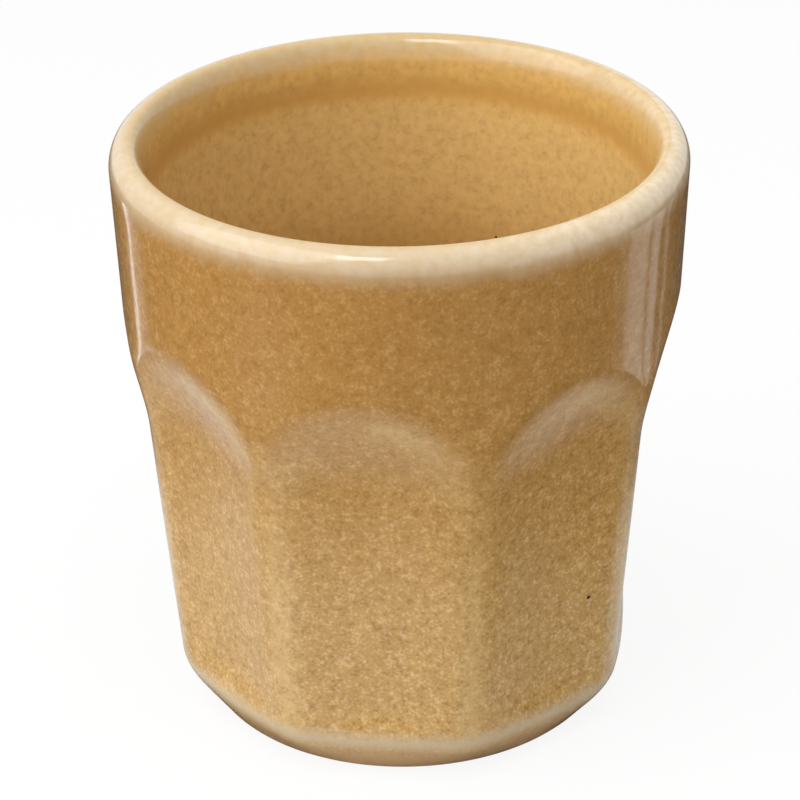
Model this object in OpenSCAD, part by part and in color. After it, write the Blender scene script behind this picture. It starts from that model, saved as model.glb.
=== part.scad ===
// Espresso cup without a handle: a pressed stoneware body with arch-topped scooped facets
// round its lower two thirds, and three fused coats of glaze that leave the foot ring bare.
// Millimetres, +Z up, origin on the table at the middle of the foot ring.

/* [Cup] */
// Height from the table to the top of the lip
cup_h = 65; // [60:0.5:72]
// Outside diameter where the line of the upper wall reaches the top of the lip
rim_d = 61.2; // [58:0.2:66]
// Lean of the plain upper wall from the vertical, in degrees
wall_lean = 2.5; // [1.5:0.1:3.5]

/* [Lip] */
// Width of the lip, glaze included
lip_w = 3; // [2.8:0.1:3.6]
// Rounding of the lip on the outside
lip_outer_r = 1.9; // [1.2:0.1:2]
// Rounding of the lip on the inside
lip_inner_r = 0.8; // [0.6:0.05:0.8]

/* [Bowl] */
// Wall at the middle of a facet, at the height where the facets begin to curve out, glaze included
wall_t = 2.4; // [2:0.1:3]
// Radius where the inside wall runs into the floor
bowl_floor_r = 10; // [6:0.5:14]
// Thickness of the floor above the foot recess, glaze included
floor_t = 3.6; // [3:0.1:6]

/* [Foot] */
// Outside diameter of the foot where the base chamfer reaches the table
foot_d = 43.4; // [41:0.2:45]
// Rise of the base chamfer from the table, in degrees
chamfer_rise = 49; // [40:1:60]
// Width of the foot ring at the table
foot_ring_w = 4.2; // [3:0.1:6]
// Depth of the recess inside the foot ring
recess_h = 1.6; // [1:0.1:2.4]
// Rise of the side of the recess from the table, in degrees
recess_rise = 45; // [40:1:70]
// Height up to which the foot is wiped free of glaze
wiped_h = 0.4; // [0.2:0.1:0.6]

/* [Facets] */
// Number of scooped facets round the cup
facet_count = 8; // [6:1:10]
// Step from the edge of the foot out to the middle of a facet, at table level
facet_step = 1.1; // [0.8:0.1:2]
// Rise of the ridges above the middle of the facets, at table level
ridge_rise = 2.3; // [1.8:0.1:2.6]
// Lean of the facets from the vertical, in degrees
facet_lean = 4.4; // [3.5:0.1:5]
// Hollow of a facet across its width, as a radius
scoop_r = 50; // [44:1:90]
// Height below which the facets tuck in towards the foot
tuck_z = 4.4; // [4:0.2:5.2]
// Lean of the facets below that height, in degrees
tuck_lean = 16.4; // [12:0.2:17]
// Height where the facets and ridges begin to curve out to the upper wall
shoulder_z = 30.6; // [26:0.2:34]
// Radius of that curve
shoulder_r = 41; // [30:1:50]

/* [Glaze] */
// Thickness of the fired glaze
glaze_t = 0.4; // [0.2:0.05:0.5]

/* [Hidden] */
$fn = 160;

// Cutters run this far past what they cut
cut_margin = 12;

// Radii at the top of the lip and at the table
rim_r = rim_d / 2;
mouth_r = rim_r - lip_w;
foot_r = foot_d / 2;
recess_r = foot_r - foot_ring_w;
facet_foot_r = foot_r + facet_step;
ridge_foot_r = facet_foot_r + ridge_rise;

// A ridge leans as the corner of a tapered prism does, more than its faces
ridge_lean = atan(tan(facet_lean) / cos(180 / facet_count));

// Inside floor of the bowl
bowl_z = recess_h + floor_t;

// The inside wall runs straight from the mouth past the thinnest part of the wall
bowl_shoulder_r = facet_foot_r + shoulder_z * tan(facet_lean) - wall_t;
bowl_lean = atan((mouth_r - bowl_shoulder_r) / (cup_h - shoulder_z));

// Outward normals of the upper wall and of the bowl wall, in the half section
wall_normal = [cos(wall_lean), -sin(wall_lean)];
bowl_normal = [-cos(bowl_lean), sin(bowl_lean)];

// Centres of the roundings, which every skin depth shares
lip_outer_c = [
    rim_r - lip_outer_r * (1 + sin(wall_lean)) / cos(wall_lean),
    cup_h - lip_outer_r
];
lip_inner_c = [
    mouth_r + lip_inner_r * (1 - sin(bowl_lean)) / cos(bowl_lean),
    cup_h - lip_inner_r
];
bowl_floor_c = [
    mouth_r + ((bowl_z + bowl_floor_r - cup_h) * sin(bowl_lean) - bowl_floor_r) / cos(bowl_lean),
    bowl_z + bowl_floor_r
];

// The outer coat and the lining meet on the crest of the lip
crest_r = (lip_outer_c.x + lip_inner_c.x) / 2;

// Corner where the base chamfer would meet the upper wall, at a depth under the glazed surface
function base_corner(depth) =
    let (
        wall_at_table = rim_r - depth / cos(wall_lean) - cup_h * tan(wall_lean),
        chamfer_at_table = foot_r - depth / sin(chamfer_rise),
        z = (wall_at_table - chamfer_at_table) / (1 / tan(chamfer_rise) - tan(wall_lean))
    )
    [chamfer_at_table + z / tan(chamfer_rise), z];

// Half section of the turned blank, without bowl or facets, at a depth under the glazed surface
module blank_section(depth) {
    polygon([
        [0, 0],
        [foot_r - depth / sin(chamfer_rise), 0],
        base_corner(depth),
        lip_outer_c + (lip_outer_r - depth) * wall_normal,
        [lip_outer_c.x, cup_h - depth],
        [0, cup_h - depth]
    ]);
    translate(lip_outer_c)
        circle(lip_outer_r - depth);
}

// Straight flank with a rounded shoulder, the edge of the tools that cut facets and ridges:
// it runs up the Y axis, with the material to be cut away at positive X
module flank_section(reach, depth) {
    translate([-depth, -cut_margin])
        square([reach + depth, cut_margin + shoulder_z]);
    intersection() {
        translate([shoulder_r, shoulder_z])
            circle(shoulder_r + depth);
        translate([-depth, shoulder_z])
            square([reach + depth, shoulder_r + depth]);
    }
}

// One grinding wheel: its rim hollows a facet, and its rounded shoulder leaves the arch
module facet_wheel(depth) {
    translate([facet_foot_r, 0, 0])
        rotate([0, facet_lean, 0])
            translate([scoop_r, 0, 0])
                rotate_extrude()
                    translate([scoop_r, 0])
                        mirror([1, 0])
                            flank_section(scoop_r, depth);
}

// Second cut of the wheel, which tucks the lower end of a facet in towards the foot
module tuck_wheel(depth) {
    translate([facet_foot_r + tuck_z * tan(facet_lean), 0, tuck_z])
        rotate([0, tuck_lean, 0])
            translate([scoop_r, 0, 0])
                cylinder(h = 2 * cut_margin, r = scoop_r + depth, center = true);
}

// Ring that blunts the ridges and leads them out to the upper wall
module ridge_ring(depth) {
    rotate_extrude()
        translate([ridge_foot_r, 0])
            rotate(-ridge_lean)
                flank_section(shoulder_r, depth);
}

// Outside form of the cup, filled, at a depth under the glazed surface
module outer_form(depth) {
    difference() {
        rotate_extrude()
            blank_section(depth);
        ridge_ring(depth);
        for (i = [0 : facet_count - 1])
            rotate(i * 360 / facet_count - 90) {
                facet_wheel(depth);
                tuck_wheel(depth);
            }
    }
}

// Half section of the space inside the cup, up to the crest, at a depth under the glazed surface
module bowl_section(depth) {
    lip_tangent = lip_inner_c + (lip_inner_r - depth) * bowl_normal;
    floor_tangent = bowl_floor_c - (bowl_floor_r + depth) * bowl_normal;
    difference() {
        polygon([
            [0, bowl_z - depth],
            [bowl_floor_c.x, bowl_z - depth],
            floor_tangent,
            lip_tangent,
            lip_inner_c,
            [lip_inner_c.x, cup_h - depth],
            [crest_r, cup_h - depth],
            [crest_r, cup_h + cut_margin],
            [0, cup_h + cut_margin]
        ]);
        translate(lip_inner_c)
            circle(lip_inner_r - depth);
    }
    intersection() {
        translate(bowl_floor_c)
            circle(bowl_floor_r + depth);
        translate([bowl_floor_c.x, bowl_z - depth])
            square(bowl_floor_r + depth);
    }
}

// Half section of the recess under the foot, at a depth under the glazed surface
module recess_section(depth) {
    side_r = recess_r + depth / sin(recess_rise);
    roof_z = recess_h + depth;
    polygon([
        [0, 0],
        [side_r, 0],
        [side_r - roof_z / tan(recess_rise), roof_z],
        [0, roof_z]
    ]);
}

// Fired clay: one piece with its foot ring
module stoneware_body() {
    color("#d2b48a")
        difference() {
            outer_form(glaze_t);
            rotate_extrude()
                bowl_section(glaze_t);
            rotate_extrude()
                recess_section(glaze_t);
        }
}

// Coat over the outside, from the crest of the lip down to the wiped foot
module outer_glaze() {
    color("#b98d52")
        difference() {
            outer_form(0);
            outer_form(glaze_t);
            translate([0, 0, lip_outer_c.y])
                cylinder(h = lip_outer_r + cut_margin, r = crest_r);
            translate([0, 0, -cut_margin])
                cylinder(h = cut_margin + wiped_h, r = rim_r);
        }
}

// Coat poured into the bowl, up to the crest of the lip
module lining_glaze() {
    color("#c0955a")
        rotate_extrude()
            difference() {
                bowl_section(glaze_t);
                bowl_section(0);
            }
}

// Coat in the recess, inside the wiped foot ring
module base_glaze() {
    color("#b98d52")
        rotate_extrude()
            difference() {
                recess_section(glaze_t);
                recess_section(0);
                square([foot_r, wiped_h]);
            }
}

stoneware_body();
outer_glaze();
lining_glaze();
base_glaze();
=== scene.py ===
"""Dresses the espresso cup: fired clay, three coats of speckled honey glaze, and a small white studio.

Forms are worked out in millimetres and scaled to metres when a mesh is handed over.
"""

import logging
import math
from dataclasses import dataclass
from enum import Enum

import bmesh
import bpy
from mathutils import Matrix, Vector


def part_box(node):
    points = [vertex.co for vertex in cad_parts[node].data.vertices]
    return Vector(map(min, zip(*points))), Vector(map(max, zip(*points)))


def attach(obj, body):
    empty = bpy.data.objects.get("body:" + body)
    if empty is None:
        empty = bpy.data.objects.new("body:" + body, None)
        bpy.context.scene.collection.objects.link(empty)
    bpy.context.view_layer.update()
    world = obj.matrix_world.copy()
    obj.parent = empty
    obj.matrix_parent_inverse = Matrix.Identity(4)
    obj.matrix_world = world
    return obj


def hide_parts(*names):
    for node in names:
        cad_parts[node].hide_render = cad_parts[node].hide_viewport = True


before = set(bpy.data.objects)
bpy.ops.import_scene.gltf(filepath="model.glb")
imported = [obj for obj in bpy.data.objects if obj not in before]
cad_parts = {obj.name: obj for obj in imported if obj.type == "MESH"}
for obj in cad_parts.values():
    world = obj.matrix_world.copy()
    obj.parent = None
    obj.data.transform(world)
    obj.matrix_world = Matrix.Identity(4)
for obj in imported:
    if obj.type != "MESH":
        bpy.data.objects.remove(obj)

Point = tuple[float, float]
Triple = tuple[float, float, float]
Colour = tuple[float, float, float, float]
Socket = bpy.types.NodeSocket
Value = Socket | Colour | Triple | float

LOG = logging.getLogger("espresso_cup")
MM = 0.001
FULL_TURN = 2.0 * math.pi
ORIGIN: Triple = (0.0, 0.0, 0.0)
UP: Triple = (0.0, 0.0, 1.0)
EVEN: Triple = (1.0, 1.0, 1.0)
FLATTENED: Triple = (1.0, 1.0, 0.0)
ROOT_BODY = "root"
THIN_ATTRIBUTE = "thin"
FLOAT_SOCKET = "NodeSocketFloat"
VECTOR_SOCKET = "NodeSocketVector"
# Height far below the table, for a band of colour that a coat doesn't have
NOWHERE = -100.0


class Node(Enum):
    """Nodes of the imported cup, by the name of their solid."""

    CLAY = "stoneware_body"
    OUTSIDE = "outer_glaze"
    LINING = "lining_glaze"
    BASE = "base_glaze"


class Slot(Enum):
    """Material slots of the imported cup."""

    CLAY = "bare_stoneware"
    OUTSIDE = "outer_glaze"
    LINING = "lining_glaze"
    BASE = "base_glaze"


class Rays(Enum):
    """Rays that find a lamp."""

    ALL = "all"
    GLOSS = "gloss"
    MATT = "matt"


def linear(hex_colour: str) -> Colour:
    """Turns a colour as seen on a screen into the linear colour that a shader takes, by the sRGB curve.

    Args:
        hex_colour: Colour written as six hexadecimal digits.

    Returns:
        Linear red, green, blue and an alpha of one.
    """
    channels = [int(hex_colour[i : i + 2], 16) / 255.0 for i in (0, 2, 4)]
    red, green, blue = [c / 12.92 if c <= 0.04045 else ((c + 0.055) / 1.055) ** 2.4 for c in channels]
    return (red, green, blue, 1.0)


def linear_grey(level: float) -> Colour:
    """Gives a linear grey."""
    return (level, level, level, 1.0)


def eased(share: float) -> float:
    """Holds a share between nought and one, and eases it in and out."""
    held = min(max(share, 0.0), 1.0)
    return held * held * (3.0 - 2.0 * held)


def nearness(a: float, b: float, band: float) -> float:
    """Says how near two values are: one where they are equal, falling smoothly to nought a band apart."""
    return eased(1.0 - abs(a - b) / band)


def soft_min(a: float, b: float, blend: float) -> float:
    """Takes the lesser of two values, rounded off where they are within a blend of each other.

    Args:
        a: First value.
        b: Second value.
        blend: Difference within which the two run into each other.

    Returns:
        The rounded minimum, a quarter of the blend below both where they are equal.
    """
    overlap = max(blend - abs(a - b), 0.0) / blend
    return min(a, b) - overlap * overlap * blend / 4.0


def steps_between(start: float, end: float, step: float) -> list[float]:
    """Divides a stretch into equal steps.

    Args:
        start: First value.
        end: Last value.
        step: Length that a step has at most.

    Returns:
        The values from start to end, both included.
    """
    count = max(math.ceil(abs(end - start) / step), 1)
    return [start + (end - start) * i / count for i in range(count + 1)]


def elliptic_arc(centre: Point, reach: Point, start: float, end: float, count: int) -> list[Point]:
    """Draws an arc of an upright ellipse.

    Args:
        centre: Middle of the ellipse.
        reach: Half axes, outwards and upwards.
        start: First angle from the outward direction, in degrees.
        end: Last angle, in degrees.
        count: Number of steps along the arc.

    Returns:
        Points along the arc, both ends included.
    """
    angles = [math.radians(start + (end - start) * i / count) for i in range(count + 1)]
    return [(centre[0] + reach[0] * math.cos(a), centre[1] + reach[1] * math.sin(a)) for a in angles]


@dataclass(frozen=True)
class Fineness:
    """How finely half sections are divided: arcs by their number of steps, rows in millimetres.

    Rows are closest between arch_top_z and arch_low_z and below base_top_z. Where a wall is hidden, its rows
    are so many times as far apart. The wall of the bowl is divided by shares of its length.
    """

    lip_arc: int = 14
    mouth_arc: int = 18
    floor_arc: int = 12
    arch_top_z: float = 51.0
    arch_low_z: float = 28.0
    base_top_z: float = 7.0
    wall_row: float = 2.0
    arch_row: float = 0.45
    facet_row: float = 1.0
    base_row: float = 0.3
    flat_row: float = 2.0
    recess_row: float = 0.25
    hidden: float = 2.0
    bowl_share: float = 0.05


@dataclass(frozen=True)
class CupForm:
    """Form of the cup, which the clay and every coat of glaze follow. Millimetres and degrees.

    Radii are taken on the glazed surface, and a depth is measured inwards from it. Blends and bands are the
    differences of radius over which faces run into each other and the glaze thins.
    """

    height: float
    rim_r: float
    wall_lean: float = 2.5
    lip_reach: float = 1.9
    lip_drop: float = 2.6
    crest_flat: float = 0.3
    lip_inner_reach: float = 1.7
    lip_inner_drop: float = 5.0
    bowl_lean: float = 7.4
    bowl_floor_r: float = 10.0
    bowl_z: float = 5.2
    facet_count: int = 8
    facet_foot_r: float = 22.94
    facet_lean: float = 5.04
    scoop_r: float = 48.0
    edge_z: float = 4.2
    runout: float = 0.6
    runout_z: float = 9.0
    shoulder_z: float = 36.7
    shoulder_r: float = 15.0
    arch_drop: float = 3.0
    foot_r: float = 21.75
    base_stretch: float = 1.25
    recess_r: float = 17.5
    recess_h: float = 1.6
    wiped_h: float = 0.35
    glaze_t: float = 0.4
    feather_h: float = 1.2
    ridge_blend: float = 4.0
    arch_blend: float = 3.6
    base_blend: float = 1.4
    ridge_band: float = 3.8
    ridge_fade: float = 2.0
    arch_thin: float = 0.85
    arch_sunk: float = 0.3
    arch_band: float = 1.8
    arch_fade: float = 0.7
    fineness: Fineness = Fineness()

    @classmethod
    def from_frame(cls) -> "CupForm":
        """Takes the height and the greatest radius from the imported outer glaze."""
        _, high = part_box(Node.OUTSIDE.value)
        return cls(height=high[2] / MM, rim_r=high[0] / MM)

    @property
    def lip_z(self) -> float:
        """Height at which the rounding of the lip begins on the outside."""
        return self.height - self.lip_drop

    @property
    def crest_r(self) -> float:
        """Radius where the outer coat and the lining meet, on top of the lip."""
        return self.rim_r - self.lip_reach - self.crest_flat / 2.0

    @property
    def mouth_r(self) -> float:
        """Radius of the inside edge of the lip."""
        return self.crest_r - self.crest_flat / 2.0 - self.lip_inner_reach

    @property
    def pitch(self) -> float:
        """Angle from one facet to the next, in radians."""
        return FULL_TURN / self.facet_count

    def wall(self, z: float) -> float:
        """Gives the radius of the plain upper wall at a height."""
        return self.rim_r - (self.lip_z - z) * math.tan(math.radians(self.wall_lean))

    def coat(self, z: float) -> float:
        """Gives the share of its thickness that the glaze has, down to its feathered lower edge."""
        return eased((z - self.wiped_h) / self.feather_h)

    def recess_side(self, depth: float) -> float:
        """Gives the radius where the side of the recess, which rises at 45 degrees, would meet the table."""
        return self.recess_r + depth * math.sqrt(2.0)

    def facet(self, turn: float, z: float) -> float:
        """Gives the radius of one scooped facet.

        Args:
            turn: Angle from the middle of the facet, in radians.
            z: Height above the table.

        Returns:
            Radius on the hollow that a wheel with a rounded shoulder leaves, under a round arch.
        """
        foot = self.shoulder_z - self.arch_drop * (2.0 * turn / self.pitch) ** 2
        rise = min(max(z - foot, 0.0), self.shoulder_r)
        sag = self.shoulder_r - math.sqrt(self.shoulder_r**2 - rise**2)
        axle = self.facet_foot_r + z * math.tan(math.radians(self.facet_lean)) + self.scoop_r
        chord = self.scoop_r**2 - (axle * math.sin(turn)) ** 2
        return axle * math.cos(turn) - math.sqrt(max(chord, 0.0)) + sag

    def two_facets(self, turn: float, z: float) -> Point:
        """Gives the radii of the nearest facet and of the next one beside it.

        Args:
            turn: Angle from the middle of the front facet, in radians.
            z: Height above the table.

        Returns:
            Both radii, the nearest facet's first.
        """
        offset = abs((turn + self.pitch / 2.0) % self.pitch - self.pitch / 2.0)
        return self.facet(offset, z), self.facet(self.pitch - offset, z)

    def facets(self, turn: float, z: float) -> float:
        """Gives the radius of the facets and soft ridges, whose hollows run out towards the round base edge.

        Args:
            turn: Angle from the middle of the front facet, in radians.
            z: Height above the table.

        Returns:
            Radius on the glazed surface.
        """
        hollow = soft_min(*self.two_facets(turn, z), self.ridge_blend)
        crest = soft_min(*self.two_facets(self.pitch / 2.0, z), self.ridge_blend)
        share = eased((self.runout_z - z) / (self.runout_z - self.edge_z))
        return hollow + (crest - hollow) * self.runout * share

    def outside(self, turn: float, z: float, depth: float) -> float:
        """Gives the radius of the cup below its lip, with soft ridges, arches and base edge.

        Args:
            turn: Angle from the middle of the front facet, in radians.
            z: Height above the table.
            depth: Depth under the glazed surface.

        Returns:
            Radius at that depth.
        """
        inset = depth * self.coat(z)
        base = self.foot_r + (self.facets(turn, self.edge_z) - self.foot_r) * z / self.edge_z
        flank = soft_min(self.facets(turn, z), self.wall(z), self.arch_blend)
        return soft_min(flank - inset, base - inset * self.base_stretch, self.base_blend)

    def thinning(self, turn: float, z: float) -> float:
        """Says how far the glaze has run off an edge: nought on open faces, one on a ridge's crest.

        Args:
            turn: Angle from the middle of the front facet, in radians.
            z: Height above the table.

        Returns:
            Share of thinning over the ridges and under the arches.
        """
        near, far = self.two_facets(turn, z)
        sunk = self.wall(z) - self.facets(turn, z)
        ridge = nearness(near, far, self.ridge_band) * min(max(sunk / self.ridge_fade, 0.0), 1.0)
        aside = min(abs(2.0 * turn / self.pitch), 1.0)
        arch = nearness(sunk, self.arch_sunk, self.arch_band) * (1.0 - self.arch_fade * aside * aside)
        return max(ridge, self.arch_thin * arch)

    def lip_outside(self, depth: float) -> list[Point]:
        """Draws the outer half of the lip, from the crest down to the wall.

        Args:
            depth: Depth under the glazed surface.

        Returns:
            Points of the half section.
        """
        centre = (self.rim_r - self.lip_reach, self.lip_z)
        reach = (self.lip_reach - depth, self.lip_drop - depth)
        rounding = elliptic_arc(centre, reach, 90.0, 0.0, self.fineness.lip_arc)
        return [(self.crest_r, self.height - depth), *rounding]

    def flank(self, depth: float, fine: bool) -> list[Point]:
        """Draws the blank wall, from under the lip down to the wiped foot, before the facets are pressed.

        Args:
            depth: Depth under the glazed surface.
            fine: Whether the rows are close enough for a surface that shows.

        Returns:
            Points of the half section.
        """
        rows = self.fineness
        zones = (
            (self.lip_z, rows.arch_top_z, rows.wall_row),
            (rows.arch_top_z, rows.arch_low_z, rows.arch_row),
            (rows.arch_low_z, rows.base_top_z, rows.facet_row),
            (rows.base_top_z, self.wiped_h, rows.base_row),
        )
        heights: list[float] = []
        for start, end, step in zones:
            heights += steps_between(start, end, step if fine else rows.hidden * step)[1:]
        return [(self.wall(z) - depth, z) for z in heights]

    def bowl(self, depth: float) -> list[Point]:
        """Draws the inside, from the crest of the lip down the wall and over the floor to the axis.

        Args:
            depth: Depth under the glazed surface.

        Returns:
            Points of the half section.
        """
        rows = self.fineness
        edge = (self.mouth_r + self.lip_inner_reach, self.height - self.lip_inner_drop)
        reach = (self.lip_inner_reach - depth, self.lip_inner_drop - depth)
        rounding = elliptic_arc(edge, reach, 90.0, 180.0, rows.mouth_arc)
        lip = [(self.crest_r, self.height - depth), *rounding]
        lean = math.radians(self.bowl_lean)
        floor_z = self.bowl_z + self.bowl_floor_r
        drop = edge[1] - floor_z
        floor_x = self.mouth_r - drop * math.tan(lean) - self.bowl_floor_r / math.cos(lean)
        radius = self.bowl_floor_r + depth
        corner = elliptic_arc((floor_x, floor_z), (radius, radius), -self.bowl_lean, -90.0, rows.floor_arc)
        start, end = lip[-1], corner[0]
        wall = [
            (start[0] + (end[0] - start[0]) * t, start[1] + (end[1] - start[1]) * t)
            for t in steps_between(0.0, 1.0, rows.bowl_share)[1:-1]
        ]
        floor = [(r, self.bowl_z - depth) for r in steps_between(floor_x, 0.0, rows.flat_row)[1:]]
        return lip + wall + corner + floor

    def recess(self, depth: float) -> list[Point]:
        """Draws the recess under the floor, from the axis out to the foot ring.

        Args:
            depth: Depth under the glazed surface.

        Returns:
            Points of the half section.
        """
        side_r = self.recess_side(depth)
        roof_z = self.recess_h + depth
        roof = [(r, roof_z) for r in steps_between(0.0, side_r - roof_z, self.fineness.flat_row)]
        side = [(side_r - z, z) for z in steps_between(roof_z, self.wiped_h, self.fineness.recess_row)[1:]]
        return roof + side


class Lathe:
    """Turns half sections into closed pieces and presses the facets into them."""

    WEDGE_STEPS = 40
    WELD = 1e-4
    SHARP_ANGLE = math.radians(50.0)
    DEEPEST_COAT = 1.5

    def __init__(self, form: CupForm) -> None:
        """Keeps the form that the facets are pressed to."""
        self.form = form

    def piece(self, name: str, section: list[Point], closed: bool) -> bpy.types.Object:
        """Turns a piece of the cup, as an object at the origin, in metres.

        Args:
            name: Name of the piece.
            section: Points of its half section, as radius and height in millimetres.
            closed: Whether the last point joins the first, as in a ring that doesn't touch the axis.

        Returns:
            The new object, smooth but for its true edges.
        """
        bm = self._turn(section, closed)
        bmesh.ops.scale(bm, vec=(MM, MM, MM), verts=bm.verts)
        for face in bm.faces:
            face.smooth = True
        mesh = bpy.data.meshes.new(name)
        bm.to_mesh(mesh)
        bm.free()
        mesh.set_sharp_from_angle(angle=self.SHARP_ANGLE)
        made = bpy.data.objects.new(name, mesh)
        bpy.context.scene.collection.objects.link(made)
        return made

    def _turn(self, section: list[Point], closed: bool) -> bmesh.types.BMesh:
        """Spins a half section over one facet, presses the facet, and repeats the wedge round the axis.

        Args:
            section: Points of the half section, as radius and height.
            closed: Whether the last point joins the first.

        Returns:
            The turned mesh, welded, with its faces pointing outwards.
        """
        bm = bmesh.new()
        corners = [bm.verts.new((0.0, -r, z)) for r, z in section]
        pairs = list(zip(corners, corners[1:]))
        if closed:
            pairs.append((corners[-1], corners[0]))
        edges = [bm.edges.new(pair) for pair in pairs]
        self._spin(bm, corners + edges, self.form.pitch, self.WEDGE_STEPS, repeat=False)
        self._press(bm)
        wedge = [*bm.verts, *bm.edges, *bm.faces]
        copies = self.form.facet_count - 1
        self._spin(bm, wedge, self.form.pitch * copies, copies, repeat=True)
        bmesh.ops.remove_doubles(bm, verts=bm.verts, dist=self.WELD)
        bmesh.ops.recalc_face_normals(bm, faces=bm.faces)
        return bm

    @staticmethod
    def _spin(bm: bmesh.types.BMesh, geom: list, angle: float, steps: int, repeat: bool) -> None:
        """Spins part of a mesh about the axis of the cup.

        Args:
            bm: Mesh to work on.
            geom: Parts of the mesh to spin.
            angle: Angle of the last step, in radians.
            steps: Number of steps.
            repeat: Whether the parts are repeated, rather than drawn out to a surface.
        """
        bmesh.ops.spin(
            bm,
            geom=geom,
            cent=ORIGIN,
            axis=UP,
            angle=angle,
            steps=steps,
            use_merge=False,
            use_duplicate=repeat,
        )

    def _press(self, bm: bmesh.types.BMesh) -> None:
        """Presses a facet, its ridges and base edge into a turned blank, and notes where the glaze thins.

        Args:
            bm: Mesh whose outside rows lie on the line of the upper wall, at their depth.
        """
        form = self.form
        thin = bm.verts.layers.float.new(THIN_ATTRIBUTE)
        for vert in bm.verts:
            radius = math.hypot(vert.co.x, vert.co.y)
            z = vert.co.z
            depth = form.wall(z) - radius
            if z >= form.lip_z or depth > self.DEEPEST_COAT:
                continue
            turn = math.atan2(vert.co.x, -vert.co.y)
            share = form.outside(turn, z, depth) / radius
            vert.co.x *= share
            vert.co.y *= share
            vert[thin] = form.thinning(turn, z)


class Sheet:
    """A node tree, with short ways to add nodes and to join them."""

    def __init__(self, tree: bpy.types.NodeTree) -> None:
        """Keeps the tree that the nodes go into."""
        self.tree = tree

    def add(self, kind: str, **settings: object) -> bpy.types.Node:
        """Adds a node.

        Args:
            kind: Identifier of the node's type.
            **settings: Properties of the node.

        Returns:
            The new node.
        """
        node = self.tree.nodes.new(kind)
        for key, value in settings.items():
            setattr(node, key, value)
        return node

    def feed(self, socket: Socket, value: Value) -> None:
        """Links a socket to an output, or sets it where the value is a constant.

        Args:
            socket: Input to feed.
            value: Output or constant.
        """
        if isinstance(value, Socket):
            self.tree.links.new(value, socket)
        else:
            socket.default_value = value

    def math(self, operation: str, a: Value, b: Value = 0.0, clamp: bool = False) -> Socket:
        """Joins two values by a sum.

        Args:
            operation: Name of the operation.
            a: First value or output.
            b: Second value or output.
            clamp: Whether the result stays between nought and one.

        Returns:
            The output with the result.
        """
        node = self.add("ShaderNodeMath", operation=operation, use_clamp=clamp)
        self.feed(node.inputs[0], a)
        self.feed(node.inputs[1], b)
        return node.outputs[0]

    def scaled(self, value: Value, factor: float, offset: Value, clamp: bool = False) -> Socket:
        """Multiplies a value by a factor and adds an offset."""
        return self.math("ADD", self.math("MULTIPLY", value, factor), offset, clamp)

    def between(self, share: Value, low: float, high: float) -> Socket:
        """Gives a value that lies between two others by a share."""
        return self.scaled(share, high - low, low)

    def ramp(self, value: Value, start: Value, end: Value, low: float = 0.0, high: float = 1.0) -> Socket:
        """Maps a value smoothly from one range to another.

        Args:
            value: Value or output to map.
            start: Value that becomes low.
            end: Value that becomes high.
            low: Lowest result.
            high: Highest result.

        Returns:
            The output with the mapped value.
        """
        node = self.add("ShaderNodeMapRange", interpolation_type="SMOOTHSTEP", clamp=True)
        given = {"Value": value, "From Min": start, "From Max": end, "To Min": low, "To Max": high}
        for name, fed in given.items():
            self.feed(node.inputs[name], fed)
        return node.outputs["Result"]

    def band(self, value: Value, middle: float, reach: float, share: float) -> Socket:
        """Gives a share where a value is at a middle, falling smoothly to nought at a reach from it."""
        off = self.math("ABSOLUTE", self.math("SUBTRACT", value, middle))
        return self.ramp(off, reach, 0.0, 0.0, share)

    def blend(self, share: Value, a: Value, b: Value, mode: str = "MIX") -> Socket:
        """Mixes two colours.

        Args:
            share: Share of the second colour.
            a: First colour or output.
            b: Second colour or output.
            mode: Name of the way of mixing.

        Returns:
            The output with the mixed colour.
        """
        # A Mix node holds sockets for every type, and its colours are inputs 6 and 7 and output 2
        node = self.add("ShaderNodeMix", data_type="RGBA", blend_type=mode, clamp_factor=True)
        self.feed(node.inputs[0], share)
        self.feed(node.inputs[6], a)
        self.feed(node.inputs[7], b)
        return node.outputs[2]

    def mixed_shader(self, share: Value, a: bpy.types.Node, b: bpy.types.Node) -> Socket:
        """Mixes two shaders.

        Args:
            share: Share of the second shader.
            a: First shader.
            b: Second shader.

        Returns:
            The output with the mixed shader.
        """
        node = self.add("ShaderNodeMixShader")
        for socket, value in zip(node.inputs, (share, a.outputs[0], b.outputs[0])):
            self.feed(socket, value)
        return node.outputs[0]

    def place(self, group: bpy.types.NodeTree, **values: Value) -> Socket:
        """Places a node group and feeds its inputs.

        Args:
            group: Group to place.
            **values: Values or outputs by the input's name.

        Returns:
            The group's first output.
        """
        node = self.add("ShaderNodeGroup", node_tree=group)
        for name, value in values.items():
            self.feed(node.inputs[name], value)
        return node.outputs[0]

    def vector(self, operation: str, a: Value, b: Value) -> Socket:
        """Joins two vectors.

        Args:
            operation: Name of the operation.
            a: First vector or output.
            b: Second vector or output.

        Returns:
            The output with the resulting vector.
        """
        node = self.add("ShaderNodeVectorMath", operation=operation)
        self.feed(node.inputs[0], a)
        self.feed(node.inputs[1], b)
        return node.outputs[0]

    def distance(self, a: Value, b: Value) -> Socket:
        """Gives the distance between two places."""
        return self.vector("DISTANCE", a, b).node.outputs["Value"]

    def millimetres(self) -> Socket:
        """Gives the place on the object in millimetres."""
        coordinates = self.add("ShaderNodeTexCoord")
        return self.vector("MULTIPLY", coordinates.outputs["Object"], (1.0 / MM, 1.0 / MM, 1.0 / MM))

    def axis(self, place: Socket, name: str) -> Socket:
        """Gives a place's distance along one axis.

        Args:
            place: Place to measure.
            name: Name of the axis.

        Returns:
            The output with the distance.
        """
        axes = self.add("ShaderNodeSeparateXYZ")
        self.feed(axes.inputs[0], place)
        return axes.outputs[name]

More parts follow.
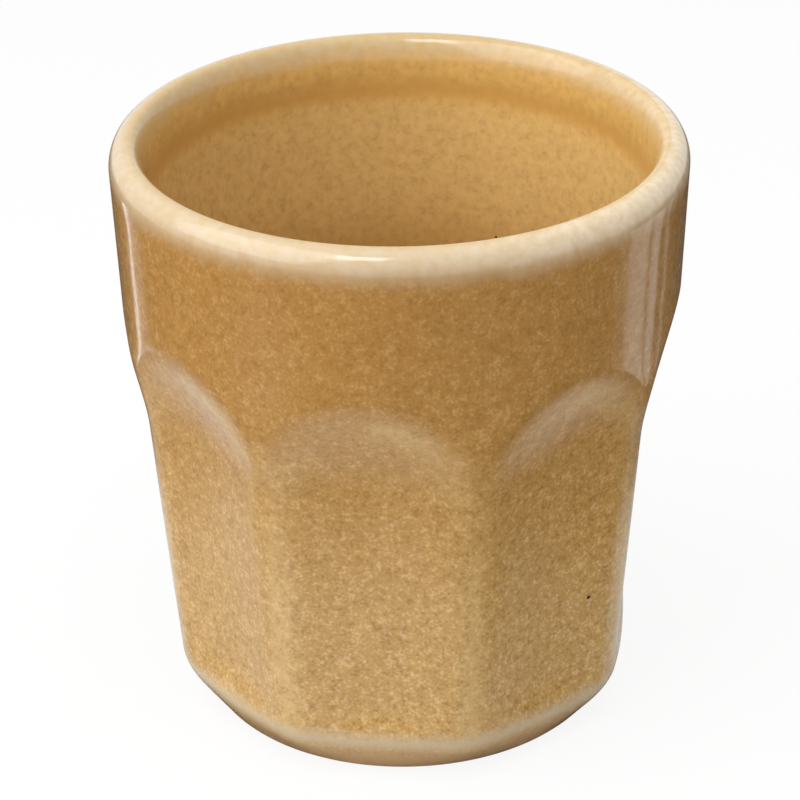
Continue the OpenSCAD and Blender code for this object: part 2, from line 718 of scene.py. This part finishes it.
    def grey(self, value: Socket) -> Socket:
        """Makes a grey of a value.

        Args:
            value: Output that every channel takes.

        Returns:
            The output with the grey.
        """
        node = self.add("ShaderNodeCombineColor")
        for channel in node.inputs:
            self.feed(channel, value)
        return node.outputs[0]

    def roughen(self, shader: bpy.types.Node, height: Socket, strength: float, depth: float) -> None:
        """Gives a shader a bump.

        Args:
            shader: Shader whose normal is bent.
            height: Relief of the surface.
            strength: Strength of the bump.
            depth: Depth of the relief, in millimetres.
        """
        bump = self.add("ShaderNodeBump")
        bump.inputs["Strength"].default_value = strength
        bump.inputs["Distance"].default_value = depth * MM
        self.feed(bump.inputs["Height"], height)
        self.feed(shader.inputs["Normal"], bump.outputs[0])


class Effects:
    """Shared effects of the finishes, each a node group that is built once."""

    NOISE_MIDDLE = 0.5
    FAINTEST_GRAIN = 0.4
    SPOT_CORE = 0.5

    def __init__(self) -> None:
        """Builds the groups."""
        self.clouds = self._clouds()
        self.grains = self._grains()
        self.spot = self._spot()

    @staticmethod
    def _group(name: str, output: str, **inputs: str) -> tuple[Sheet, dict[str, Socket], Socket]:
        """Starts a node group that puts out one value.

        Args:
            name: Name of the group.
            output: Name of the output.
            **inputs: Kinds of the inputs by name.

        Returns:
            The sheet, the sockets that give the inputs by name, and the socket that takes the result.
        """
        tree = bpy.data.node_groups.new(name, "ShaderNodeTree")
        for label, kind in inputs.items():
            tree.interface.new_socket(label, in_out="INPUT", socket_type=kind)
        tree.interface.new_socket(output, in_out="OUTPUT", socket_type=FLOAT_SOCKET)
        sheet = Sheet(tree)
        source = sheet.add("NodeGroupInput")
        result = sheet.add("NodeGroupOutput")
        return sheet, {label: source.outputs[label] for label in inputs}, result.inputs[output]

    def _clouds(self) -> bpy.types.NodeTree:
        """Builds soft mottling, centred on nought, with patches of a given size.

        Returns:
            The group.
        """
        sheet, given, result = self._group(
            "Clouds", "Value", Vector=VECTOR_SOCKET, Size=FLOAT_SOCKET, Detail=FLOAT_SOCKET
        )
        noise = sheet.add("ShaderNodeTexNoise", noise_dimensions="3D")
        sheet.feed(noise.inputs["Vector"], given["Vector"])
        sheet.feed(noise.inputs["Scale"], sheet.math("DIVIDE", 1.0, given["Size"]))
        sheet.feed(noise.inputs["Detail"], given["Detail"])
        sheet.feed(result, sheet.math("SUBTRACT", noise.outputs[0], self.NOISE_MIDDLE))
        return sheet.tree

    def _grains(self) -> bpy.types.NodeTree:
        """Builds scattered grains: of the cells of a given size, a share holds a soft dot.

        Returns:
            The group.
        """
        sheet, given, result = self._group(
            "Grains", "Mask", Vector=VECTOR_SOCKET, Size=FLOAT_SOCKET, Share=FLOAT_SOCKET, Reach=FLOAT_SOCKET
        )
        cells = sheet.add("ShaderNodeTexVoronoi", voronoi_dimensions="3D", feature="F1")
        sheet.feed(cells.inputs["Vector"], given["Vector"])
        sheet.feed(cells.inputs["Scale"], sheet.math("DIVIDE", 1.0, given["Size"]))
        chance = sheet.add("ShaderNodeSeparateColor")
        sheet.feed(chance.inputs[0], cells.outputs["Color"])
        picked = sheet.math("LESS_THAN", chance.outputs[0], given["Share"])
        dot = sheet.ramp(cells.outputs["Distance"], given["Reach"], 0.0)
        strength = sheet.between(chance.outputs[1], self.FAINTEST_GRAIN, 1.0)
        sheet.feed(result, sheet.math("MULTIPLY", picked, sheet.math("MULTIPLY", dot, strength)))
        return sheet.tree

    def _spot(self) -> bpy.types.NodeTree:
        """Builds one round spot at a given place.

        Returns:
            The group.
        """
        sheet, given, result = self._group(
            "Spot", "Mask", Vector=VECTOR_SOCKET, Place=VECTOR_SOCKET, Radius=FLOAT_SOCKET
        )
        away = sheet.distance(given["Vector"], given["Place"])
        core = sheet.math("MULTIPLY", given["Radius"], self.SPOT_CORE)
        sheet.feed(result, sheet.ramp(away, given["Radius"], core))
        return sheet.tree


def start_material(name: str) -> tuple[bpy.types.Material, Sheet, bpy.types.Node]:
    """Starts a material.

    Args:
        name: Name of the material.

    Returns:
        The material, its sheet and its shader.
    """
    material = bpy.data.materials.new(name)
    material.use_nodes = True
    return material, Sheet(material.node_tree), material.node_tree.nodes["Principled BSDF"]


@dataclass(frozen=True)
class Ground:
    """What the layers of a finish work on: the sheet, the shared groups and the place in millimetres."""

    sheet: Sheet
    effects: Effects
    place: Socket


@dataclass(frozen=True)
class Cloud:
    """Soft mottling with patches of one size. Millimetres, and shares of the place along each axis."""

    size: float
    detail: float = 2.0
    stretch: Triple = EVEN
    shift: Triple = ORIGIN

    def over(self, ground: Ground) -> Socket:
        """Lays the mottling over a ground.

        Args:
            ground: Ground of the finish.

        Returns:
            The output with the mottling, centred on nought.
        """
        place = ground.place
        if self.stretch != EVEN:
            place = ground.sheet.vector("MULTIPLY", place, self.stretch)
        if self.shift != ORIGIN:
            place = ground.sheet.vector("ADD", place, self.shift)
        return ground.sheet.place(ground.effects.clouds, Vector=place, Size=self.size, Detail=self.detail)


@dataclass(frozen=True)
class Speckle:
    """Grains of one colour, scattered in glaze or clay. Lengths in millimetres, and the rest are shares.

    Their strength goes from upper, high on the cup, to lower near its foot.
    """

    colour: str
    size: float
    share: float
    reach: float
    upper: float
    lower: float
    shift: Triple = ORIGIN

    def over(self, ground: Ground, colour: Socket, lower: Value = 0.0, room: Value = 1.0) -> Socket:
        """Scatters the grains over a colour.

        Args:
            ground: Ground of the finish.
            colour: Colour under the grains.
            lower: How far down the cup a point lies, as a share.
            room: Where grains may lie.

        Returns:
            The colour with the grains.
        """
        sheet = ground.sheet
        shifted = sheet.vector("ADD", ground.place, self.shift)
        grains = sheet.place(
            ground.effects.grains, Vector=shifted, Size=self.size, Share=self.share, Reach=self.reach
        )
        strength = sheet.between(lower, self.upper, self.lower)
        amount = sheet.math("MULTIPLY", grains, sheet.math("MULTIPLY", strength, room))
        return sheet.blend(amount, colour, linear(self.colour))


@dataclass(frozen=True)
class GlazeFinish:
    """Speckled honey glaze, paler where it thins over edges. Colours are as seen, lengths in millimetres.

    The honey goes from deep at light_high to light at light_low; on the outside the lighter honey low down is
    partly painted bounce light from the floor. The lip turns pale between lip_low and lip_high, and paler
    from painted_lit_near to painted_lit_far along X, a painted light on that side, but stays honey on its
    crest. A band round edge_z has a shade of its own. From pooled_painted_high down to pooled_painted_low the
    glaze takes
    its low colour: painted bounce light from the floor at the outside's foot, and painted shade with glaze
    pooling deep in the bowl. A sway says how much of a mottling is added to a value.
    """

    name: str
    deep: str = "A97C40"
    light: str = "BE9758"
    ridge: str = "C8A970"
    cream: str = "C8B598"
    # Paler cream for the lip towards +X: painted light on that side.
    cream_painted_lit: str = "E6D4B8"
    cream_warm: str = "BE9E66"
    crest: str = "C2A064"
    edge: str = "C8B594"
    # Colour low on the coat: painted bounce light from the floor at the outside's foot, and painted shade
    # with glaze pooling deep in the bowl.
    pooled_painted_light: str = "C4A37B"
    dark: str = "8C6028"
    yellow: str = "D6B878"
    pink: str = "D8AE8C"
    iron: str = "1C130C"
    light_high: float = 60.0
    light_low: float = 6.0
    light_sway: float = 0.6
    ridge_even: float = 0.75
    ridge_share: float = 0.8
    ridge_cover: float = 0.5
    lip_low: float = 60.6
    lip_high: float = 64.6
    lip_sway: float = 1.2
    # Span along X over which the lip turns paler: painted light.
    painted_lit_near: float = 2.0
    painted_lit_far: float = 29.0
    warm_from: float = -0.25
    warm_full: float = 0.3
    warm_share: float = 0.45
    crest_r: float = 28.4
    crest_band: float = 0.9
    crest_share: float = 0.6
    crest_from: float = -0.3
    crest_full: float = 0.2
    edge_z: float = 4.6
    edge_band: float = 2.2
    edge_share: float = 0.8
    # Heights over which that low colour of painted light and shade comes in.
    pooled_painted_low: float = 2.0
    pooled_painted_high: float = 4.0
    pooled_painted_share: float = 0.9
    roughness: float = 0.12
    rough_sway: float = 0.05
    bump: float = 0.12
    bump_depth: float = 0.3
    clump_sway: float = 0.6
    fleck_from: float = 0.02
    fleck_full: float = 0.24
    tint_band: float = 0.12
    pale_upper: float = 0.19
    pale_lower: float = 0.7
    shade_upper: float = 0.38
    shade_lower: float = 0.5
    broad: float = 0.25
    speckles: tuple[Speckle, ...] = (
        Speckle("E4C898", size=0.45, share=0.4, reach=0.5, upper=0.1, lower=0.55, shift=(37.0, 11.0, 53.0)),
        Speckle("EAD4B8", size=0.7, share=0.25, reach=0.42, upper=0.06, lower=0.5, shift=(5.0, 71.0, 29.0)),
    )
    iron_spots: tuple[Triple, ...] = ()
    iron_radius: float = 0.3
    patches: Cloud = Cloud(3.2, detail=3.0)
    blotches: Cloud = Cloud(1.1, detail=4.0)
    clumps: Cloud = Cloud(1.0)
    grain: Cloud = Cloud(0.36)
    tints: Cloud = Cloud(0.7, detail=1.0, shift=(19.0, 43.0, 7.0))
    runs: Cloud = Cloud(2.4, stretch=(1.0, 1.0, 0.3))

    def make(self, effects: Effects) -> bpy.types.Material:
        """Builds the material.

        Args:
            effects: Shared node groups.

        Returns:
            The glaze as a material on object coordinates.
        """
        material, sheet, shader = start_material(self.name)
        ground = Ground(sheet, effects, sheet.millimetres())
        height = sheet.axis(ground.place, "Z")
        patchy = self.patches.over(ground)
        lip = self._lip(ground, height)
        # Honey lighter towards the foot: on the outside, partly painted bounce light from the floor.
        lower = sheet.ramp(height, self.light_high, self.light_low)
        lower = sheet.scaled(patchy, self.light_sway, lower, clamp=True)
        thin = sheet.add("ShaderNodeAttribute", attribute_type="GEOMETRY", attribute_name=THIN_ATTRIBUTE)
        uneven = sheet.math("ADD", self.ridge_even, patchy)
        ridge = sheet.math("MULTIPLY", thin.outputs["Fac"], uneven, clamp=True)
        ridge = sheet.math("MULTIPLY", ridge, self.ridge_share)
        covered = sheet.math("MAXIMUM", lip, sheet.math("MULTIPLY", ridge, self.ridge_cover))
        room = sheet.math("SUBTRACT", 1.0, covered)

        colour = sheet.blend(lower, linear(self.deep), linear(self.light))
        colour = sheet.blend(ridge, colour, linear(self.ridge))
        colour = self._mottled(ground, colour, lower, room)
        for speckle in self.speckles:
            colour = speckle.over(ground, colour, lower, room)
        colour = sheet.blend(lip, colour, self._cream(ground))
        colour = self._edges(ground, height, patchy, colour)
        for spot in self.iron_spots:
            mask = sheet.place(effects.spot, Vector=ground.place, Place=spot, Radius=self.iron_radius)
            colour = sheet.blend(mask, colour, linear(self.iron))

        sheet.feed(shader.inputs["Base Color"], colour)
        sheet.feed(shader.inputs["Roughness"], sheet.scaled(patchy, self.rough_sway, self.roughness))
        sheet.roughen(shader, patchy, self.bump, self.bump_depth)
        return material

    def _lip(self, ground: Ground, height: Socket) -> Socket:
        """Says how pale the lip is, with short runs down its lower edge."""
        level = ground.sheet.scaled(self.runs.over(ground), self.lip_sway, height)
        return ground.sheet.ramp(level, self.lip_low, self.lip_high)

    def _cream(self, ground: Ground) -> Socket:
        """Mixes the pale glaze of the lip, blotched with honey and paler towards +X, a painted light on that
        side.

        Args:
            ground: Ground of the finish.

        Returns:
            The colour of the lip.
        """
        sheet = ground.sheet
        # Painted light: the lip turns paler towards +X, as if lit more on that side.
        side = sheet.ramp(sheet.axis(ground.place, "X"), self.painted_lit_near, self.painted_lit_far)
        cream = sheet.blend(side, linear(self.cream), linear(self.cream_painted_lit))
        warm = sheet.ramp(self.blotches.over(ground), self.warm_from, self.warm_full, 0.0, self.warm_share)
        return sheet.blend(warm, cream, linear(self.cream_warm))

    def _mottled(self, ground: Ground, colour: Socket, lower: Socket, room: Socket) -> Socket:
        """Breaks a colour up into fine pale flecks and darker gaps that run into each other.

        Args:
            ground: Ground of the finish.
            colour: Colour of the glaze.
            lower: How far down the cup a point lies, as a share.
            room: Where the glaze is thick enough to break up.

        Returns:
            The mottled colour.
        """
        sheet = ground.sheet
        clumps = self.clumps.over(ground)
        value = sheet.scaled(clumps, self.clump_sway, self.grain.over(ground))
        tint = sheet.ramp(self.tints.over(ground), -self.tint_band, self.tint_band)
        pale = sheet.blend(tint, linear(self.yellow), linear(self.pink))
        for side, upmost, lowest, shade in (
            (1.0, self.pale_upper, self.pale_lower, pale),
            (-1.0, self.shade_upper, self.shade_lower, linear(self.dark)),
        ):
            fleck = sheet.ramp(value, side * self.fleck_from, side * self.fleck_full)
            share = sheet.math("MULTIPLY", fleck, sheet.between(lower, upmost, lowest))
            colour = sheet.blend(sheet.math("MULTIPLY", share, room), colour, shade)
        broad = sheet.scaled(clumps, self.broad, 1.0)
        return sheet.blend(1.0, colour, sheet.grey(broad), mode="MULTIPLY")

    def _edges(self, ground: Ground, height: Socket, patchy: Socket, colour: Socket) -> Socket:
        """Colours the low glaze with its painted light and shade, the band round edge_z and the crest of the
        lip.

        Args:
            ground: Ground of the finish.
            height: Height of the place.
            patchy: Soft mottling.
            colour: Colour of the glaze elsewhere.

        Returns:
            The colour with its edges.
        """
        sheet = ground.sheet
        uneven = sheet.math("ADD", height, patchy)
        # Painted light low on the coat: bounce light from the floor at the outside's foot, shade with glaze
        # pooling deep in the bowl.
        pooled_painted_light = sheet.ramp(uneven, self.pooled_painted_high, self.pooled_painted_low, 0.0, self.pooled_painted_share)
        colour = sheet.blend(pooled_painted_light, colour, linear(self.pooled_painted_light))
        edge = sheet.band(uneven, self.edge_z, self.edge_band, self.edge_share)
        colour = sheet.blend(edge, colour, linear(self.edge))
        radius = sheet.distance(sheet.vector("MULTIPLY", ground.place, FLATTENED), ORIGIN)
        crest = sheet.band(radius, self.crest_r, self.crest_band, self.crest_share)
        top = sheet.ramp(height, self.lip_low, self.lip_high)
        top = sheet.math("MULTIPLY", top, sheet.ramp(patchy, self.crest_from, self.crest_full))
        return sheet.blend(sheet.math("MULTIPLY", crest, top), colour, linear(self.crest))


@dataclass(frozen=True)
class ClayFinish:
    """Bare fired stoneware: buff, matt, with grains of sand and iron.

    Colours are as seen, lengths in millimetres.
    """

    name: str = "bare_stoneware"
    buff: str = "C8A97C"
    toasted: str = "A98254"
    toast_middle: float = 0.5
    roughness: float = 0.8
    rough_sway: float = 0.2
    bump: float = 0.5
    bump_depth: float = 0.1
    patches: Cloud = Cloud(5.0, detail=3.0)
    grit: Cloud = Cloud(0.3, detail=3.0)
    speckles: tuple[Speckle, ...] = (
        Speckle("DDC7A0", size=0.5, share=0.35, reach=0.5, upper=0.6, lower=0.6),
        Speckle("5A3C22", size=1.1, share=0.12, reach=0.35, upper=0.8, lower=0.8),
    )

    def make(self, effects: Effects) -> bpy.types.Material:
        """Builds the material.

        Args:
            effects: Shared node groups.

        Returns:
            The clay as a material on object coordinates.
        """
        material, sheet, shader = start_material(self.name)
        ground = Ground(sheet, effects, sheet.millimetres())
        gritty = self.grit.over(ground)
        toast = sheet.math("ADD", self.patches.over(ground), self.toast_middle, clamp=True)
        colour = sheet.blend(toast, linear(self.buff), linear(self.toasted))
        for speckle in self.speckles:
            colour = speckle.over(ground, colour)
        sheet.feed(shader.inputs["Base Color"], colour)
        sheet.feed(shader.inputs["Roughness"], sheet.scaled(gritty, self.rough_sway, self.roughness))
        sheet.roughen(shader, gritty, self.bump, self.bump_depth)
        return material


def settle(piece: bpy.types.Object, material: bpy.types.Material, node: Node) -> None:
    """Puts a finish on a piece and lets the piece stand for its solid.

    Args:
        piece: Piece to settle.
        material: Finish of the piece.
        node: Solid that the piece stands for.
    """
    piece.data.materials.append(material)
    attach(piece, ROOT_BODY)
    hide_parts(node.value)


@dataclass
class Layer:
    """A layer of the cup, turned on the lathe to the cup's form."""

    form: CupForm
    lathe: Lathe


@dataclass
class ClayBody(Layer):
    """The pressed stoneware, which shows only at its bare foot ring. Millimetres."""

    foot_round: float = 0.12

    def build(self) -> bpy.types.Object:
        """Turns the clay in one piece, from the recess round the foot and lip to the floor of the bowl.

        Returns:
            The clay as a closed mesh.
        """
        form = self.form
        depth = form.glaze_t
        foot_out = form.foot_r
        foot_in = form.recess_side(depth)
        rounded_z = self.foot_round / 4.0
        ring = [
            (foot_in - self.foot_round, self.foot_round),
            (foot_in, rounded_z),
            (foot_in + self.foot_round, 0.0),
            (foot_out - 2.0 * self.foot_round, 0.0),
            (foot_out - self.foot_round, rounded_z),
            (foot_out, self.foot_round),
        ]
        section = form.recess(depth) + ring
        section += form.flank(depth, fine=False)[::-1]
        section += form.lip_outside(depth)[::-1]
        section += form.bowl(depth)[1:]
        return self.lathe.piece("clay_body", section, closed=False)

    def dress(self, piece: bpy.types.Object, effects: Effects) -> None:
        """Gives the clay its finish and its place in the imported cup."""
        settle(piece, ClayFinish().make(effects), Node.CLAY)


@dataclass
class OuterCoat(Layer):
    """The coat that the outside was dipped in, from the crest of the lip to the wiped foot.

    Its one iron speck is placed by an angle from the front facet, in degrees, and a height in millimetres.
    """

    speck_turn: float = 57.5
    speck_z: float = 17.75

    def build(self) -> bpy.types.Object:
        """Turns the coat as a closed shell and presses the facets into both its sides.

        Returns:
            The coat as a closed mesh.
        """
        form = self.form
        section = form.lip_outside(0.0) + form.flank(0.0, fine=True)
        section += form.flank(form.glaze_t, fine=False)[-2::-1]
        section += form.lip_outside(form.glaze_t)[::-1]
        return self.lathe.piece("outer_coat", section, closed=True)

    def dress(self, piece: bpy.types.Object, effects: Effects) -> None:
        """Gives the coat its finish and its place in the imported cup.

        Args:
            piece: Coat to dress.
            effects: Shared node groups.
        """
        turn = math.radians(self.speck_turn)
        radius = self.form.outside(turn, self.speck_z, 0.0)
        speck = (radius * math.sin(turn), -radius * math.cos(turn), self.speck_z)
        finish = GlazeFinish("outer_glaze", iron_spots=(speck,))
        settle(piece, finish.make(effects), Node.OUTSIDE)


@dataclass
class LiningCoat(Layer):
    """The coat that was poured inside, from the crest of the lip over the wall and floor. Millimetres."""

    speck: Triple = (8.18, 23.09, 42.75)
    speck_radius: float = 0.25
    speckles: tuple[Speckle, ...] = (
        Speckle("E8CC9C", size=0.7, share=0.4, reach=0.55, upper=0.1, lower=0.14, shift=(37.0, 11.0, 53.0)),
    )

    def build(self) -> bpy.types.Object:
        """Turns the lining as a closed shell.

        Returns:
            The lining as a closed mesh.
        """
        section = self.form.bowl(0.0)[::-1] + self.form.bowl(self.form.glaze_t)
        return self.lathe.piece("lining_coat", section, closed=False)

    def dress(self, piece: bpy.types.Object, effects: Effects) -> None:
        """Gives the lining its finish, with a darker ring under the lip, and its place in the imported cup.

        Args:
            piece: Lining to dress.
            effects: Shared node groups.
        """
        finish = GlazeFinish(
            "lining_glaze",
            deep="D6AA60",
            light="D4AE6D",
            cream="C5AF86",
            # Paler lip cream towards +X: painted light.
            cream_painted_lit="D6BF98",
            cream_warm="BE9450",
            edge="C6964E",
            # Darker deep in the bowl: painted shade, with glaze pooling there.
            pooled_painted_light="9C6A1E",
            dark="A87838",
            yellow="D8B474",
            pink="D6AE80",
            light_high=61.0,
            light_low=55.0,
            lip_low=61.4,
            lip_high=65.0,
            edge_z=59.2,
            edge_band=2.0,
            pooled_painted_low=34.0,
            pooled_painted_high=50.0,
            pooled_painted_share=0.7,
            pale_upper=0.13,
            pale_lower=0.2,
            shade_upper=0.13,
            shade_lower=0.2,
            broad=0.4,
            speckles=self.speckles,
            iron_spots=(self.speck,),
            iron_radius=self.speck_radius,
        )
        settle(piece, finish.make(effects), Node.LINING)


@dataclass
class BaseCoat(Layer):
    """The patch of glaze in the recess under the floor."""

    def build(self) -> bpy.types.Object:
        """Turns the patch as a closed shell.

        Returns:
            The patch as a closed mesh.
        """
        section = self.form.recess(0.0) + self.form.recess(self.form.glaze_t)[::-1]
        return self.lathe.piece("base_coat", section, closed=False)

    def dress(self, piece: bpy.types.Object, effects: Effects) -> None:
        """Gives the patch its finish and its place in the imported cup."""
        finish = GlazeFinish("base_glaze", edge_z=NOWHERE, pooled_painted_low=NOWHERE, pooled_painted_high=NOWHERE + 1.0)
        settle(piece, finish.make(effects), Node.BASE)


@dataclass(frozen=True)
class Viewpoint:
    """Where the photograph was taken from. Millimetres and degrees."""

    azimuth: float = 7.0
    elevation: float = 27.55
    distance: float = 366.0
    aim_z: float = 33.44
    aside: float = -0.277
    roll: float = -0.775
    lens: float = 150.9
    sensor: float = 36.0
    nearest: float = 10.0

    def back(self, turn: float = 0.0, rise: float | None = None) -> Vector:
        """Gives the direction from the cup towards the camera, or one turned from it.

        Args:
            turn: Angle to the right of the camera, in degrees.
            rise: Elevation to use instead of the camera's, in degrees.

        Returns:
            A unit vector.
        """
        a = math.radians(self.azimuth + turn)
        e = math.radians(self.elevation if rise is None else rise)
        return Vector((math.sin(a) * math.cos(e), -math.cos(a) * math.cos(e), math.sin(e)))

    def build(self) -> bpy.types.Object:
        """Makes the scene's camera.

        Returns:
            The camera.
        """
        lens = bpy.data.cameras.new("camera")
        lens.lens = self.lens
        lens.sensor_width = self.sensor
        lens.clip_start = self.nearest * MM
        camera = bpy.data.objects.new("camera", lens)
        back = self.back()
        right = Vector(UP).cross(back).normalized()
        aim = Vector((0.0, 0.0, self.aim_z)) + right * self.aside
        turn = (-back).to_track_quat("-Z", "Y").to_matrix().to_4x4()
        roll = Matrix.Rotation(math.radians(self.roll), 4, "Z")
        camera.matrix_world = Matrix.Translation((aim + back * self.distance) * MM) @ turn @ roll
        bpy.context.scene.collection.objects.link(camera)
        bpy.context.scene.camera = camera
        return camera


@dataclass(frozen=True)
class Softbox:
    """A soft lamp, placed by its turn and rise from the camera. Millimetres, degrees and watts."""

    BESIDE_DISTANCE = 62.0
    BESIDE_AIM_Z = 29.0

    name: str
    rays: Rays
    turn: float
    rise: float
    distance: float
    width: float
    height: float
    power: float
    aim_z: float = 35.0

    @classmethod
    def beside(cls, name: str, turn: float, width: float, height: float, power: float) -> "Softbox":
        """Makes a low strip close beside the cup, which only a gloss sees."""
        return cls(name, Rays.GLOSS, turn, 0.0, cls.BESIDE_DISTANCE, width, height, power, cls.BESIDE_AIM_Z)

    def build(self, view: Viewpoint) -> bpy.types.Object:
        """Hangs the lamp.

        Args:
            view: Viewpoint that the lamp's angles start from.

        Returns:
            The lamp.
        """
        data = bpy.data.lights.new(self.name, "AREA")
        data.shape = "RECTANGLE"
        data.size = self.width * MM
        data.size_y = self.height * MM
        data.energy = self.power
        lamp = bpy.data.objects.new(self.name, data)
        away = view.back(self.turn, self.rise)
        centre = Vector((0.0, 0.0, self.aim_z)) + away * self.distance
        facing = (-away).to_track_quat("-Z", "Y").to_matrix().to_4x4()
        lamp.matrix_world = Matrix.Translation(centre * MM) @ facing
        lamp.visible_camera = False
        lamp.visible_diffuse = self.rays is not Rays.GLOSS
        lamp.visible_glossy = self.rays is not Rays.MATT
        bpy.context.scene.collection.objects.link(lamp)
        return lamp


@dataclass(frozen=True)
class Glow:
    """A painted patch of light on the floor, as a gloss sees it; a negative strength makes a painted shadow.

    Placed by its angle from the camera, in degrees, and its distance from the axis, in millimetres.
    """

    turn: float
    distance: float
    reach: float
    strength: float

    def over(self, sheet: Sheet, place: Socket, view: Viewpoint) -> Socket:
        """Gives the light that the patch adds at a place on the floor."""
        centre = tuple(view.back(self.turn, 0.0) * self.distance)
        return sheet.ramp(sheet.distance(place, centre), self.reach, 0.0, 0.0, self.strength)


@dataclass
class Studio:
    """White floor, soft lamps and a pale surround. Millimetres.

    A gloss sees a painted pool of light round the cup, which fades out from pool_inner to pool_outer, and
    white floor again from far_inner on. Under the foot it sees a painted contact shadow, up to contact_outer.
    """

    view: Viewpoint
    floor_size: float = 4000.0
    pool_inner: float = 46.0
    pool_outer: float = 74.0
    pool_glow: float = 0.65
    surround: float = 0.06
    far_inner: float = 220.0
    far_outer: float = 450.0
    contact_inner: float = 22.0
    contact_outer: float = 28.0
    ambient: float = 0.36
    whiteness: float = 0.9
    paper: float = 0.85
    paper_rough: float = 0.9
    lamps: tuple[Softbox, ...] = (
        Softbox("key", Rays.ALL, -64.0, 40.0, distance=500.0, width=560.0, height=560.0, power=2.3),
        Softbox("overhead", Rays.MATT, 10.0, 86.0, distance=420.0, width=300.0, height=300.0, power=0.78),
        Softbox("fill", Rays.MATT, 15.0, 62.0, distance=500.0, width=260.0, height=260.0, power=0.5),
        Softbox("window", Rays.GLOSS, -20.0, 56.0, distance=500.0, width=140.0, height=150.0, power=0.4),
        Softbox.beside("left_line", turn=-111.5, width=3.4, height=30.0, power=0.00075),
        Softbox.beside("left_veil", turn=-105.5, width=8.0, height=30.0, power=0.0003),
        Softbox.beside("right_panel", turn=86.5, width=13.0, height=32.0, power=0.0011),
        Softbox.beside("right_veil", turn=84.0, width=21.0, height=32.0, power=0.00055),
        Softbox.beside("right_fold", turn=97.5, width=6.3, height=32.0, power=0.0006),
        Softbox.beside("right_line", turn=107.0, width=1.0, height=32.0, power=0.00013),
    )
    glows: tuple[Glow, ...] = (
        # Painted pools of light on the floor, as a gloss sees them.
        Glow(turn=-36.0, distance=56.0, reach=40.0, strength=0.8),
        Glow(turn=-52.0, distance=112.0, reach=46.0, strength=0.45),
        Glow(turn=-106.0, distance=66.0, reach=44.0, strength=0.4),
        Glow(turn=86.0, distance=52.0, reach=30.0, strength=0.4),
        # Painted shadow of the cup on the floor, as a gloss sees it.
        Glow(turn=50.0, distance=62.0, reach=50.0, strength=-0.7),
    )

    def build(self) -> bpy.types.Object:
        """Makes the floor, the lamps and the surround.

        Returns:
            The floor.
        """
        for lamp in self.lamps:
            lamp.build(self.view)
        self._surround()
        bm = bmesh.new()
        bmesh.ops.create_grid(bm, x_segments=1, y_segments=1, size=self.floor_size / 2.0 * MM)
        mesh = bpy.data.meshes.new("floor")
        bm.to_mesh(mesh)
        bm.free()
        mesh.materials.append(self._floor_material())
        floor = bpy.data.objects.new("floor", mesh)
        bpy.context.scene.collection.objects.link(floor)
        return floor

    def _surround(self) -> None:
        """Lights the cup from all round, with white where the camera or a gloss sees past the floor."""
        world = bpy.data.worlds.new("surround")
        bpy.context.scene.world = world
        world.use_nodes = True
        sheet = Sheet(world.node_tree)
        soft = world.node_tree.nodes["Background"]
        soft.inputs["Strength"].default_value = self.ambient
        white = sheet.add("ShaderNodeBackground")
        for background in (soft, white):
            background.inputs["Color"].default_value = linear_grey(1.0)
        mixed = sheet.mixed_shader(sheet.math("MAXIMUM", *self._sights(sheet)), soft, white)
        sheet.feed(world.node_tree.nodes["World Output"].inputs["Surface"], mixed)

    @staticmethod
    def _sights(sheet: Sheet) -> tuple[Socket, Socket]:
        """Tells the rays that see a background from those that only light the cup.

        Args:
            sheet: Sheet of the world or of a material.

        Returns:
            Whether a ray comes from the camera, and whether it comes from a gloss or a glass.
        """
        path = sheet.add("ShaderNodeLightPath")
        mirrored = sheet.math("MAXIMUM", path.outputs["Is Glossy Ray"], path.outputs["Is Transmission Ray"])
        return path.outputs["Is Camera Ray"], mirrored

    def _floor_material(self) -> bpy.types.Material:
        """Builds the floor: white to the camera but for the shadow, and a pool of light to a gloss.

        Returns:
            The floor's material.
        """
        material, sheet, shader = start_material("white_floor")
        shader.inputs["Base Color"].default_value = linear_grey(self.paper)
        shader.inputs["Roughness"].default_value = self.paper_rough
        shader.inputs["Specular IOR Level"].default_value = 0.0
        place = sheet.millimetres()
        away = sheet.distance(place, ORIGIN)
        pool = sheet.ramp(away, self.pool_outer, self.pool_inner, self.surround, self.pool_glow)
        for glow in self.glows:
            pool = sheet.math("ADD", pool, glow.over(sheet, place, self.view))
        pool = sheet.math("MAXIMUM", pool, sheet.ramp(away, self.far_inner, self.far_outer))
        # Painted contact shadow under the foot, as a gloss sees it.
        pool = sheet.math("MULTIPLY", pool, sheet.ramp(away, self.contact_inner, self.contact_outer))
        camera, mirrored = self._sights(sheet)
        shine = sheet.add("ShaderNodeEmission")
        sheet.feed(shine.inputs["Strength"], sheet.math("MAXIMUM", camera, pool))
        shown = sheet.math("MAXIMUM", sheet.math("MULTIPLY", camera, self.whiteness), mirrored)
        mixed = sheet.mixed_shader(shown, shader, shine)
        sheet.feed(material.node_tree.nodes["Material Output"].inputs["Surface"], mixed)
        return material


def main() -> None:
    """Builds the pieces in order, then the studio."""
    logging.basicConfig(level=logging.INFO, format="%(name)s: %(message)s")
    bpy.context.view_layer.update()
    bpy.context.scene.view_settings.view_transform = "Standard"
    form = CupForm.from_frame()
    lathe = Lathe(form)
    effects = Effects()
    for kind in (ClayBody, OuterCoat, LiningCoat, BaseCoat):
        layer = kind(form, lathe)
        piece = layer.build()
        layer.dress(piece, effects)
        LOG.info("%s: %d faces", piece.name, len(piece.data.polygons))
    view = Viewpoint()
    view.build()
    floor = Studio(view).build()
    LOG.info("%s: stage", floor.name)


if __name__ == "__main__":
    main()
